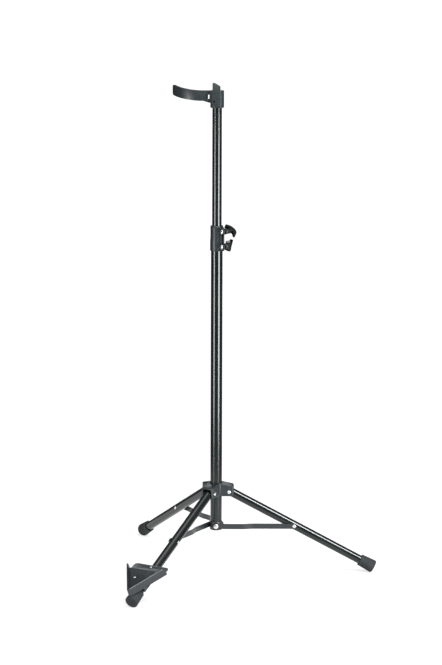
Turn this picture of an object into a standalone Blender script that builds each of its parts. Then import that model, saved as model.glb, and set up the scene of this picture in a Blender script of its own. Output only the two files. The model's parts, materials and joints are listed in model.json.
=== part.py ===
"""A folding woodwind stand: a telescopic post on a tripod, with a hook at the top and a V cradle on one leg.

Metres, +Z up.  The origin is on the floor, at the centre of the stand's footprint.  The front leg,
which carries the cradle, points along -Y.  Every moving group hangs from an empty on its joint's axis.
"""

from math import atan2, cos, hypot, pi, radians, sin, sqrt

import bmesh
import bpy
from mathutils import Vector

GAP = 0.0003  # clearance between pieces that touch
CUT = 0.030  # how far a drill or a cutter runs past what it cuts
TURN_STEPS = 32
SMALL_STEPS = 14

# Tripod, in the vertical plane of each leg: distance from the post's axis, and height
LEG_AZIMUTHS = {"front": radians(270), "right": radians(30), "left": radians(150)}
PIVOT_R = 0.0250
PIVOT_Z = 0.1557
FOOT_R = 0.3030
FOOT_Z = 0.0072
BRACE_Z = 0.0883
BRACE_JOINT_R = 0.150
LEG_LENGTH = hypot(FOOT_R - PIVOT_R, PIVOT_Z - FOOT_Z)
LEG_DROP = atan2(PIVOT_Z - FOOT_Z, FOOT_R - PIVOT_R)
BRACE_JOINT_X = (BRACE_JOINT_R - PIVOT_R) / cos(LEG_DROP)
BRACE_JOINT_Z = PIVOT_Z - BRACE_JOINT_X * sin(LEG_DROP)
BRACE_LENGTH = hypot(BRACE_JOINT_R, BRACE_JOINT_Z - BRACE_Z)
BRACE_RISE = atan2(BRACE_JOINT_Z - BRACE_Z, BRACE_JOINT_R)

# Tubes: outer radius, with the walls' thickness
LOWER_R = 0.011
UPPER_R = 0.009
LEG_R = 0.0084
WALL = 0.001
LOWER_TOP = 0.664
UPPER_BOTTOM = 0.400
UPPER_TOP = 0.9222
LEG_BACK = 0.0055  # the leg tube's length behind its pivot
LEG_END = 0.004  # what the foot cap adds past the tube

# Rivets: head radius and height, shank radius, and the drilled hole's radius
BIG_RIVET = (0.0045, 0.0016, 0.0020)
SMALL_RIVET = (0.0032, 0.0013, 0.0016)
HOLE_SLACK = 0.0003

# Foot caps
CAP_LENGTH = 0.030
CAP_RIM_R = 0.0113
CAP_END_R = 0.0125
CAP_EDGE = 0.003

# Brace carrier, the moulded end of the post
CARRIER_R = 0.0121
CARRIER_BOTTOM = 0.0797
CARRIER_TOP = 0.0962
CARRIER_FLOOR = 0.0032
SPIGOT_TOP = 0.104

# Braces
BRACE_WIDTH = 0.010
BRACE_THICK = 0.0018
BRACE_INNER_Y = CARRIER_R + GAP + BRACE_THICK / 2
BRACE_OUTER_Y = LEG_R + GAP + BRACE_THICK / 2
JOGGLE_FROM = 0.050
JOGGLE_TO = 0.075

# Hub, which slides on the lower tube
HUB_BOTTOM = 0.1472
HUB_TOP = 0.1732
ARM_WIDTH = 0.025
ARM_R = 0.0338
ARM_DROP = 0.0056  # how much lower the arms' tips are than the hub's top
CHANNEL_WIDTH = 0.018
CHANNEL_R = 0.014
CHANNEL_ROOF = 0.0028

# Clamp at the top of the lower tube
CLAMP_BOTTOM = 0.6222
CLAMP_TOP = 0.6702
CLAMP_R = 0.0127
CLAMP_AZIMUTH = radians(341)  # the lobes' direction; the knob is to the left of it
LOBE_R = 0.0203
LOBE_END = 0.0055
LOBE_HALF = 0.0050
SLIT = 0.0024
KNOB_BOLT_Z = 0.6606
LEVER_BOLT_Z = 0.6320
FLANGE_R = 0.0163  # the flange that joins the two lobes
WING_SPAN = 0.031
WING_BOW = 0.0065
WING_WIDTH = 0.0075
WING_THICK = 0.0075
WING_Y = 0.0222
WING_TILT = radians(30)
LEVER_TILT = radians(19)
LEVER_PIN_R = 0.0026
LEVER_PIN_Z = 0.0082

# Head and hook
HEAD_TURN = radians(31)  # the hook leaves the head along its own -X
HEAD_BOTTOM = 0.8935
HEAD_TOP = 0.926
HEAD_R = 0.0129
FLANK_STEP = 0.0080  # how far the flank beside the arm's root stops above the head's bottom
TAB_TOP = 0.9412
ARM_ROOT_X = 0.0132
ARM_STRAIGHT = 0.017
ARM_BEND_R = 0.057
ARM_BEND = radians(65)
ARM_LIFT = 0.0073
ARM_HEIGHT = 0.0196
ARM_THICK = 0.0046
GUSSET = 0.0040
GUSSET_LENGTH = 0.013
SLOT_SIZE = (0.0034, 0.0094)

# Cradle, in the front leg's frame: X runs down the leg and Z stands on it
V_HALF_ANGLE = radians(30)
V_WALL = 0.085
CRADLE_FLOOR_Z = 0.0133
CRADLE_FLOOR = 0.0024
CRADLE_RIM_Z = 0.0302
CRADLE_SHEET = 0.0030
TONGUE_A = 0.074
TONGUE_LENGTH = 0.0174
TONGUE_HALF = 0.037
TONGUE_BEND = radians(9)
SCREW_A = 0.052
SCREW_Y = 0.017
SCREW_HEAD = (0.0032, 0.0012, 0.0016)
SCREW_SEAT = 0.0014  # how far the screws' heads are let into the floor
TONGUE_RIVET_A = 0.085
SADDLE_FROM = 0.036
SADDLE_TO = 0.064
SADDLE_HALF = 0.0105

FINISHES = {  # colour, roughness, metallic
    "black_lacquer": ((0.012, 0.013, 0.014), 0.22, 0.0),
    "grey_moulding": ((0.060, 0.066, 0.068), 0.50, 0.0),
    "grey_enamel": ((0.070, 0.076, 0.078), 0.42, 0.0),
    "black_moulding": ((0.018, 0.019, 0.020), 0.45, 0.0),
    "rubber": ((0.045, 0.047, 0.048), 0.75, 0.0),
    "nickel": ((0.80, 0.80, 0.79), 0.25, 1.0),
}


def clear_scene():
    for item in list(bpy.data.objects):
        bpy.data.objects.remove(item, do_unlink=True)


def finish(name):
    """The Principled material of that name, made the first time it is asked for."""
    found = bpy.data.materials.get(name)
    if found:
        return found
    colour, roughness, metallic = FINISHES[name]
    made = bpy.data.materials.new(name)
    made.use_nodes = True
    shader = made.node_tree.nodes["Principled BSDF"]
    shader.inputs["Base Color"].default_value = (*colour, 1)
    shader.inputs["Roughness"].default_value = roughness
    shader.inputs["Metallic"].default_value = metallic
    return made


def add(name, mesh_edit, slot):
    """Closes a bmesh into a named object with its finish."""
    bmesh.ops.recalc_face_normals(mesh_edit, faces=mesh_edit.faces)
    mesh = bpy.data.meshes.new(name)
    mesh_edit.to_mesh(mesh)
    mesh_edit.free()
    mesh.shade_smooth()
    mesh.set_sharp_from_angle(angle=radians(32))
    mesh.materials.append(finish(slot))
    made = bpy.data.objects.new(name, mesh)
    bpy.context.collection.objects.link(made)
    return made


def place(item, parent=None, at=(0, 0, 0), turn=(0, 0, 0)):
    item.parent = parent
    item.location = at
    item.rotation_euler = turn
    return item


def empty(name, parent=None, at=(0, 0, 0), turn=(0, 0, 0)):
    made = bpy.data.objects.new(name, None)
    bpy.context.collection.objects.link(made)
    made.empty_display_size = 0.02
    return place(made, parent, at, turn)


def turned(name, outline, slot, steps=TURN_STEPS):
    """A solid turned about +Z. The outline's (radius, height) points close on the axis or on themselves."""
    edit = bmesh.new()
    rings = []
    for radius, height in outline:
        count = steps if radius else 1
        angles = [2 * pi * i / steps for i in range(count)]
        rings.append([edit.verts.new((radius * cos(t), radius * sin(t), height)) for t in angles])
    for low, high in zip(rings, rings[1:] + rings[:1]):
        if len(low) == len(high) == 1:
            continue
        for i in range(steps):
            j = (i + 1) % steps
            corners = [low[i % len(low)], low[j % len(low)], high[j % len(high)], high[i % len(high)]]
            edit.faces.new(list(dict.fromkeys(corners)))
    return add(name, edit, slot)


def extruded(name, outline, low, high, slot, along="Z"):
    """A solid with an outline in the plane across Z (x, y), Y (x, z) or X (y, z), from low to high."""
    order = {"Z": (0, 1, 2), "Y": (0, 2, 1), "X": (2, 0, 1)}[along]
    edit = bmesh.new()

    def corner(point, depth):
        values = (*point, depth)
        return edit.verts.new([values[k] for k in order])

    ends = [[corner(point, depth) for point in outline] for depth in (low, high)]
    for end in ends:
        edit.faces.new(end)
    for i in range(len(outline)):
        j = (i + 1) % len(outline)
        edit.faces.new([ends[0][i], ends[0][j], ends[1][j], ends[1][i]])
    return add(name, edit, slot)


def arc(centre, radius, start, end, steps=6):
    """Points of an arc, both ends included, for angles in degrees."""
    angles = [radians(start + (end - start) * i / steps) for i in range(steps + 1)]
    return [(centre[0] + radius * cos(t), centre[1] + radius * sin(t)) for t in angles]


def rectangle(x0, y0, x1, y1):
    return [(x0, y0), (x1, y0), (x1, y1), (x0, y1)]


def combine(target, tool, operation="DIFFERENCE"):
    """Cuts the tool from the target, or joins it on, in a Boolean that stays on the target."""
    modifier = target.modifiers.new(tool.name, "BOOLEAN")
    modifier.operation = operation
    modifier.solver = "EXACT"
    modifier.object = tool
    tool.hide_render = True
    tool.display_type = "WIRE"
    return target


def soften(item, width, segments=2, angle=40):
    modifier = item.modifiers.new("Soft edges", "BEVEL")
    modifier.width = width
    modifier.segments = segments
    modifier.limit_method = "ANGLE"
    modifier.angle_limit = radians(angle)
    modifier.harden_normals = False


def drill(name, radius, low, high, parent=None, at=(0, 0, 0), turn=(0, 0, 0)):
    """A round cutter along its own Z, from low to high."""
    outline = [(0, low), (radius, low), (radius, high), (0, high)]
    return place(turned(name, outline, "nickel", SMALL_STEPS), parent, at, turn)


def dome(radius, height, base, steps=3):
    """Outline of a rivet's head, from its rim at the base to its top on the axis."""
    rim = height * 0.25
    points = [(radius, base), (radius, base + rim)]
    for i in range(1, steps):
        t = pi / 2 * i / steps
        points.append((radius * cos(t), base + rim + (height - rim) * sin(t)))
    return points + [(0, base + height)]


def rivet(name, size, length, parent, at, turn, tail=False):
    """A domed rivet along its own Z: the head's underside is at 0, the shank runs down from it."""
    head_r, head_h, shank_r = size
    outline = [(0, -length), (shank_r, -length)]
    if tail:
        low = [(r, -length - z) for r, z in dome(head_r, head_h, 0)]
        outline = list(reversed(low)) + [(shank_r, -length)]
    outline += [(shank_r, 0), *dome(head_r, head_h, 0)]
    return place(turned(name, outline, "nickel", SMALL_STEPS), parent, at, turn)


def tube_outline(radius, low, high, wall=WALL):
    return [(radius - wall, low), (radius, low), (radius, high), (radius - wall, high)]


def across(azimuth):
    """Turns a piece made along Z so that it points level, along the azimuth."""
    return (0, pi / 2, azimuth)


def add_post(root):
    """Lower tube, moulded brace carrier at its foot, and the rivets that the braces turn on."""
    tube = turned("lower_tube", tube_outline(LOWER_R, CARRIER_BOTTOM + CARRIER_FLOOR + GAP, LOWER_TOP),
                  "black_lacquer")
    place(tube, root)
    floor = CARRIER_BOTTOM + CARRIER_FLOOR
    edge = 0.0015
    carrier = turned("brace_carrier", [
        (0, CARRIER_BOTTOM), (CARRIER_R - edge, CARRIER_BOTTOM), (CARRIER_R, CARRIER_BOTTOM + edge),
        (CARRIER_R, CARRIER_TOP - edge / 3), (CARRIER_R - edge / 3, CARRIER_TOP),
        (LOWER_R + GAP, CARRIER_TOP), (LOWER_R + GAP, floor), (LOWER_R - WALL - GAP, floor),
        (LOWER_R - WALL - GAP, SPIGOT_TOP), (0, SPIGOT_TOP)], "black_moulding")
    place(carrier, root)
    head_at = BRACE_INNER_Y + BRACE_THICK / 2 + GAP
    shank_end = 0.0045
    for side, azimuth in LEG_AZIMUTHS.items():
        facing = azimuth - pi / 2
        hole = drill(f"carrier_hole_{side}", BIG_RIVET[2] + HOLE_SLACK, shank_end - GAP, CUT, root,
                     (0, 0, BRACE_Z), across(facing))
        combine(tube, hole)
        combine(carrier, hole)
        out = Vector((cos(facing), sin(facing), 0)) * head_at
        rivet(f"carrier_rivet_{side}", BIG_RIVET, head_at - shank_end, root,
              out + Vector((0, 0, BRACE_Z)), across(facing))


def add_hub(root):
    """The sliding hub: a three-armed shell with a channel in each arm, and the legs' pivot rivets."""
    hub_axis = empty("hub_axis", root, (0, 0, PIVOT_Z))
    low, high = HUB_BOTTOM - PIVOT_Z, HUB_TOP - PIVOT_Z
    half = ARM_WIDTH / 2
    star = []
    for azimuth in LEG_AZIMUTHS.values():
        out = Vector((cos(azimuth), sin(azimuth), 0))
        side = Vector((-sin(azimuth), cos(azimuth), 0))
        notch = azimuth + pi / 3
        star.append((out * ARM_R - side * half, ARM_DROP))
        star.append((out * ARM_R + side * half, ARM_DROP))
        star.append((Vector((cos(notch), sin(notch), 0)) * half / sin(pi / 3), 0))
    star.sort(key=lambda corner: atan2(corner[0].y, corner[0].x))
    edit = bmesh.new()
    lower = [edit.verts.new((p.x, p.y, low)) for p, drop in star]
    upper = [edit.verts.new((p.x, p.y, high - drop)) for p, drop in star]
    crown = edit.verts.new((0, 0, high))
    edit.faces.new(lower)
    for i in range(len(star)):
        j = (i + 1) % len(star)
        edit.faces.new([lower[i], lower[j], upper[j], upper[i]])
        edit.faces.new([upper[i], upper[j], crown])
    hub = place(add("hub_body", edit, "grey_moulding"), hub_axis)
    combine(hub, drill("hub_bore", LOWER_R + GAP, low - CUT, high + CUT, hub_axis))
    for side, azimuth in LEG_AZIMUTHS.items():
        far = ARM_R + CUT
        roof = high - CHANNEL_ROOF
        channel = extruded(f"hub_channel_{side}", [
            (CHANNEL_R, low - CUT), (far, low - CUT), (far, roof - ARM_DROP * far / ARM_R),
            (CHANNEL_R, roof - ARM_DROP * CHANNEL_R / ARM_R)],
            -CHANNEL_WIDTH / 2, CHANNEL_WIDTH / 2, "grey_moulding", "Y")
        combine(hub, place(channel, hub_axis, turn=(0, 0, azimuth)))
        along = Vector((cos(azimuth), sin(azimuth), 0)) * PIVOT_R
        combine(hub, drill(f"hub_hole_{side}", BIG_RIVET[2] + HOLE_SLACK, -CUT / 2, CUT / 2, hub_axis,
                           along, across(azimuth + pi / 2)))
        reach = half + GAP
        facing = Vector((sin(azimuth), -cos(azimuth), 0))
        size = (SMALL_RIVET[0], SMALL_RIVET[1], BIG_RIVET[2])
        rivet(f"hub_rivet_{side}", size, 2 * reach, hub_axis, along + facing * reach,
              across(azimuth - pi / 2), tail=True)
    return hub_axis


def add_leg(side, azimuth, hub_axis):
    """A leg tube with its rubber foot cap and the rivet tail of its brace joint, in the leg's own frame."""
    pivot = empty(f"leg_{side}_axis", hub_axis, (PIVOT_R * cos(azimuth), PIVOT_R * sin(azimuth), 0),
                  (0, LEG_DROP, azimuth))
    lengthwise = (0, pi / 2, 0)
    sideways = (-pi / 2, 0, 0)
    tube = turned(f"leg_tube_{side}", tube_outline(LEG_R, -LEG_BACK, LEG_LENGTH - LEG_END),
                  "black_lacquer", 24)
    place(tube, pivot, turn=lengthwise)
    combine(tube, drill(f"leg_pivot_hole_{side}", BIG_RIVET[2] + HOLE_SLACK, -CUT, CUT, pivot,
                        turn=sideways))
    combine(tube, drill(f"leg_brace_hole_{side}", SMALL_RIVET[2] + HOLE_SLACK, -CUT, CUT, pivot,
                        (BRACE_JOINT_X, 0, 0), sideways))
    rim = LEG_LENGTH - CAP_LENGTH
    bore = LEG_R + GAP
    outline = [(bore, rim), (CAP_RIM_R - 0.0006, rim), (CAP_RIM_R, rim + 0.0006)]
    outline += arc((CAP_END_R - CAP_EDGE, LEG_LENGTH - CAP_EDGE), CAP_EDGE, 0, 90, 4)
    outline += [(0, LEG_LENGTH), (0, LEG_LENGTH - LEG_END + GAP), (bore, LEG_LENGTH - LEG_END + GAP)]
    place(turned(f"foot_cap_{side}", outline, "rubber", 24), pivot, turn=lengthwise)
    reach = LEG_R + GAP
    rivet(f"leg_rivet_{side}", SMALL_RIVET, reach + LEG_R, pivot, (BRACE_JOINT_X, reach, 0), sideways)
    return pivot, tube


def brace_y(x):
    """How far to the side of the leg's plane the brace runs, x along it."""
    share = min(max((x - JOGGLE_FROM) / (JOGGLE_TO - JOGGLE_FROM), 0), 1)
    ease = share * share * (3 - 2 * share)
    return BRACE_INNER_Y + (BRACE_OUTER_Y - BRACE_INNER_Y) * ease


def add_brace(side, azimuth, root):
    """A flat steel strip with round ends and a joggle, and the rivet head that holds it to the leg."""
    pivot = empty(f"brace_{side}_axis", root, (0, 0, BRACE_Z), (0, -BRACE_RISE, azimuth))
    half = BRACE_WIDTH / 2
    ends = [radians(a) for a in (12, 34, 56, 78)]
    stations = [(-half * cos(t), half * sin(t)) for t in ends]
    stations += [(JOGGLE_FROM + (JOGGLE_TO - JOGGLE_FROM) * i / 6, half) for i in range(7)]
    stations += [(BRACE_LENGTH + half * cos(t), half * sin(t)) for t in reversed(ends)]
    edit = bmesh.new()
    loops = []
    for x, z in stations:
        y = -brace_y(x)
        corners = ((y - BRACE_THICK / 2, -z), (y + BRACE_THICK / 2, -z),
                   (y + BRACE_THICK / 2, z), (y - BRACE_THICK / 2, z))
        loops.append([edit.verts.new((x, a, b)) for a, b in corners])
    for first, second in zip(loops, loops[1:]):
        for i in range(4):
            j = (i + 1) % 4
            edit.faces.new([first[i], first[j], second[j], second[i]])
    edit.faces.new(loops[0])
    edit.faces.new(loops[-1])
    brace = place(add(f"brace_{side}", edit, "grey_enamel"), pivot)
    outward = (pi / 2, 0, 0)
    combine(brace, drill(f"brace_inner_hole_{side}", BIG_RIVET[2] + HOLE_SLACK, -CUT, CUT, pivot,
                         turn=outward))
    combine(brace, drill(f"brace_outer_hole_{side}", SMALL_RIVET[2] + HOLE_SLACK, -CUT, CUT, pivot,
                         (BRACE_LENGTH, 0, 0), outward))
    head_y = BRACE_OUTER_Y + BRACE_THICK / 2 + GAP
    rivet(f"brace_rivet_{side}", SMALL_RIVET, head_y - LEG_R - GAP, pivot,
          (BRACE_LENGTH, -head_y, 0), outward)


def add_cradle(pivot, leg_tube):
    """The V tray that takes the instrument's foot, on a saddle clipped over the front leg."""
    floor_top = CRADLE_FLOOR_Z + CRADLE_FLOOR
    inset = 0.0004
    cosine, sine = cos(V_HALF_ANGLE), sin(V_HALF_ANGLE)
    reach = V_WALL * cosine - 2 * inset
    side = (reach - inset / sine) * sine / cosine
    tray = extruded("cradle_tray", [
        (LEG_LENGTH - 0.0045, -0.001), (LEG_LENGTH - 0.0045, 0.001), (LEG_LENGTH - reach, side),
        (LEG_LENGTH - TONGUE_A, TONGUE_HALF), (LEG_LENGTH - TONGUE_A, -TONGUE_HALF),
        (LEG_LENGTH - reach, -side)], CRADLE_FLOOR_Z, floor_top, "grey_enamel")
    place(tray, pivot)
    corner, wall_from = 0.009, 0.0046
    for name, sign in (("left", 1), ("right", -1)):
        outline = [(wall_from, CRADLE_FLOOR_Z + inset), (V_WALL, CRADLE_FLOOR_Z + inset)]
        outline += arc((V_WALL - corner, CRADLE_RIM_Z - corner), corner, 0, 90, 5)
        outline += [(wall_from, CRADLE_RIM_Z)]
        low, high = sorted((0, sign * CRADLE_SHEET))
        wall = extruded(f"cradle_wall_{name}", outline, low, high, "grey_enamel", "Y")
        place(wall, pivot, (LEG_LENGTH, 0, 0), (0, 0, pi - sign * V_HALF_ANGLE))
        combine(tray, wall, "UNION")
    nose = drill("cradle_nose", CRADLE_SHEET - 0.0001, CRADLE_FLOOR_Z + inset / 2, CRADLE_RIM_Z - inset / 4,
                 pivot, (LEG_LENGTH - CRADLE_SHEET / sine, 0, 0))
    combine(tray, nose, "UNION")
    round_r, lap, tongue_top = 0.006, 0.0015, 0.0020
    centre_x, half = round_r - TONGUE_LENGTH, TONGUE_HALF - 0.0002
    plan = [(lap, half)] + arc((centre_x, half - round_r), round_r, 90, 180, 4)
    plan += arc((centre_x, round_r - half), round_r, 180, 270, 4) + [(lap, -half)]
    tongue = extruded("cradle_tongue", plan, 0.00005, tongue_top, "grey_enamel")
    bend_at = (LEG_LENGTH - TONGUE_A, 0, CRADLE_FLOOR_Z)
    place(tongue, pivot, bend_at, (0, -TONGUE_BEND, 0))
    combine(tray, tongue, "UNION")

    top = CRADLE_FLOOR_Z - GAP
    bottom = -0.0030
    flange = 0.0026
    flange_half = SCREW_Y + 0.0050
    outline = [(-SADDLE_HALF, bottom), (SADDLE_HALF, bottom), (SADDLE_HALF, top - flange),
               (flange_half, top - flange), (flange_half, top), (-flange_half, top),
               (-flange_half, top - flange), (-SADDLE_HALF, top - flange)]
    saddle = extruded("cradle_saddle", outline, LEG_LENGTH - SADDLE_TO, LEG_LENGTH - SADDLE_FROM,
                      "black_moulding", "X")
    place(saddle, pivot)
    combine(saddle, drill("saddle_bore", LEG_R + GAP, -CUT, LEG_LENGTH, pivot, turn=(0, pi / 2, 0)))
    for name, sign in (("left", 1), ("right", -1)):
        at = (LEG_LENGTH - SCREW_A, sign * SCREW_Y, floor_top - SCREW_SEAT)
        hole = drill(f"cradle_hole_{name}", SCREW_HEAD[2] + HOLE_SLACK, -CUT, CUT / 3, pivot, at)
        seat = drill(f"cradle_seat_{name}", SCREW_HEAD[0] + HOLE_SLACK, -GAP, CUT / 3, pivot, at)
        combine(tray, hole)
        combine(tray, seat)
        combine(saddle, hole)
        rivet(f"cradle_screw_{name}", SCREW_HEAD, 0.0060, pivot, at, (0, 0, 0))

    back = (TONGUE_RIVET_A - TONGUE_A) / cos(TONGUE_BEND)
    rise = tongue_top + GAP
    at = (bend_at[0] - back * cos(TONGUE_BEND) - rise * sin(TONGUE_BEND), 0,
          bend_at[2] - back * sin(TONGUE_BEND) + rise * cos(TONGUE_BEND))
    turn = (0, -TONGUE_BEND, 0)
    hole = drill("tongue_hole", SMALL_RIVET[2] + 2 * HOLE_SLACK, -0.010, CUT / 3, pivot, at, turn)
    combine(tray, hole)
    combine(leg_tube, hole)
    rivet("cradle_rivet", SMALL_RIVET, 0.0085, pivot, at, turn)


def crescent(span, bow, thick, steps=14):
    """Outline of a wing bar bowed towards +y, with blunt ends."""
    outer, inner = [], []
    for i in range(steps + 1):
        share = -1 + 2 * i / steps
        middle = -bow * share * share
        half = thick / 2 * sqrt(max(1 - share ** 6, 0.25))
        outer.append((span / 2 * share, middle + half))
        inner.append((span / 2 * share, middle - half))
    return outer + list(reversed(inner))


def add_clamp(root):
    """The slit clamp collar with its two bolts, the wing knob and the clamp lever."""
    frame = empty("clamp_frame", root, (0, 0, 0), (0, 0, CLAMP_AZIMUTH))
    lip = LOWER_TOP + GAP
    collar = turned("clamp_collar", [
        (LOWER_R + GAP, CLAMP_BOTTOM), (CLAMP_R - 0.0008, CLAMP_BOTTOM), (CLAMP_R, CLAMP_BOTTOM + 0.001),
        (CLAMP_R, CLAMP_BOTTOM + 0.018), (CLAMP_R - 0.0006, CLAMP_BOTTOM + 0.026),
        (CLAMP_R - 0.0006, CLAMP_TOP - 0.0015), (CLAMP_R - 0.0016, CLAMP_TOP),
        (UPPER_R + GAP, CLAMP_TOP), (UPPER_R + GAP, lip), (LOWER_R + GAP, lip)], "grey_moulding")
    place(collar, frame)
    bore = turned("clamp_bore", [
        (0, CLAMP_BOTTOM - CUT), (LOWER_R + GAP, CLAMP_BOTTOM - CUT), (LOWER_R + GAP, lip),
        (UPPER_R + GAP, lip), (UPPER_R + GAP, CLAMP_TOP + CUT), (0, CLAMP_TOP + CUT)], "nickel")
    place(bore, frame)
    cuts = [bore]
    levels = (("knob", KNOB_BOLT_Z), ("lever", LEVER_BOLT_Z))
    for name, height in levels:
        outline = [(0, height - LOBE_END)]
        outline += arc((LOBE_R, height), LOBE_END, -90, 90, 10)
        outline += [(0, height + LOBE_END)]
        lobe = extruded(f"clamp_lobe_{name}", outline, -LOBE_HALF, LOBE_HALF, "grey_moulding", "Y")
        combine(collar, place(lobe, frame), "UNION")
        cuts.append(drill(f"clamp_hole_{name}", BIG_RIVET[2] + HOLE_SLACK, -CUT, CUT, frame,
                          (LOBE_R, 0, height), (-pi / 2, 0, 0)))
    flange = extruded("clamp_flange", rectangle(0, CLAMP_BOTTOM + 0.0005, FLANGE_R, CLAMP_TOP - 0.0025),
                      -LOBE_HALF, LOBE_HALF, "grey_moulding", "Y")
    combine(collar, place(flange, frame), "UNION")
    slit = extruded("clamp_slit", rectangle(0.0065, -SLIT / 2, LOBE_R + CUT, SLIT / 2),
                    CLAMP_BOTTOM - CUT, CLAMP_TOP + CUT, "nickel")
    cuts.append(place(slit, frame))
    for tool in cuts:
        combine(collar, tool)

    head_y = LOBE_HALF + GAP
    bolt_size, bolt_length = (0.0044, 0.0024, BIG_RIVET[2]), 0.0180
    washer_low, washer_high = head_y, head_y + 0.0010
    washer_hole = BIG_RIVET[2] + HOLE_SLACK
    for name, height in levels:
        rivet(f"clamp_bolt_{name}", bolt_size, bolt_length, frame, (LOBE_R, -head_y, height),
              (pi / 2, 0, 0))
        washer = turned(f"clamp_washer_{name}", [
            (washer_hole, washer_low), (0.0047, washer_low), (0.0047, washer_high),
            (washer_hole, washer_high)], "nickel", SMALL_STEPS)
        place(washer, frame, (LOBE_R, 0, height), (-pi / 2, 0, 0))

    base = washer_high + GAP
    bolt_end = bolt_length - head_y
    knob_axis = empty("wing_knob_axis", frame, (LOBE_R, 0, KNOB_BOLT_Z), (0, WING_TILT, 0))
    outline = [(0, base), (0.0050, base), (0.0050, base + 0.003), (0.0042, WING_Y), (0, WING_Y)]
    knob = turned("wing_knob", outline, "black_moulding", SMALL_STEPS + 6)
    place(knob, knob_axis, turn=(-pi / 2, 0, 0))
    wing = extruded("knob_wing", crescent(WING_SPAN, WING_BOW, WING_THICK), -WING_WIDTH / 2,
                    WING_WIDTH / 2, "black_moulding")
    combine(knob, place(wing, knob_axis, (0, WING_Y - 0.0005, 0)), "UNION")
    combine(knob, drill("knob_hole", washer_hole, 0, bolt_end + GAP, knob_axis, turn=(-pi / 2, 0, 0)))
    soften(knob, 0.0007, 1)

    lever_axis = empty("clamp_lever_axis", frame, (LOBE_R, 0, LEVER_BOLT_Z))
    body = extruded("clamp_lever", [
        (-0.0045, base), (0.0045, base), (0.0045, base + 0.0080), (-0.0040, base + 0.0080)],
        -0.0078, 0.0060, "black_moulding")
    place(body, lever_axis)
    pin = drill("lever_pin", LEVER_PIN_R, base, base + 0.0070, lever_axis, (0, 0, LEVER_PIN_Z),
                (-pi / 2, 0, 0))
    combine(body, pin, "UNION")
    plate = extruded("lever_plate", rectangle(-0.0036, -0.0012, 0.0036, 0.0012), -0.0106, 0.0126,
                     "black_moulding")
    place(plate, lever_axis, (0, base + 0.0088, 0), (-LEVER_TILT, 0, 0))
    combine(body, plate, "UNION")
    combine(body, drill("lever_hole", washer_hole, 0, bolt_end + GAP, lever_axis, turn=(-pi / 2, 0, 0)))
    soften(body, 0.0006, 1)


def arm_stations():
    """Centre, heading, bottom and top of the hook arm at each station, in the head's frame."""
    length = ARM_STRAIGHT + ARM_BEND_R * ARM_BEND
    round_r = 0.0045
    places = [0, GUSSET_LENGTH / 2, GUSSET_LENGTH, ARM_STRAIGHT]
    steps = 14
    curved = length - ARM_STRAIGHT - round_r
    places += [ARM_STRAIGHT + curved * (i + 1) / steps for i in range(steps)]
    places += [length - round_r + round_r * sin(radians(a)) for a in (30, 55, 78)]
    for s in places:
        bent = max(s - ARM_STRAIGHT, 0) / ARM_BEND_R
        x = -ARM_ROOT_X - min(s, ARM_STRAIGHT) - ARM_BEND_R * sin(bent)
        y = -0.003 + ARM_BEND_R * (1 - cos(bent))
        lift = ARM_LIFT * (bent / ARM_BEND) ** 1.5
        deeper = GUSSET * max(1 - s / GUSSET_LENGTH, 0)
        past = max(s - (length - round_r), 0)
        trim = round_r - sqrt(round_r ** 2 - past ** 2)
        top = HEAD_TOP + lift - trim
        bottom = HEAD_TOP - ARM_HEIGHT + lift - deeper + trim
        yield (x, y), bent, bottom, top


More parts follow.
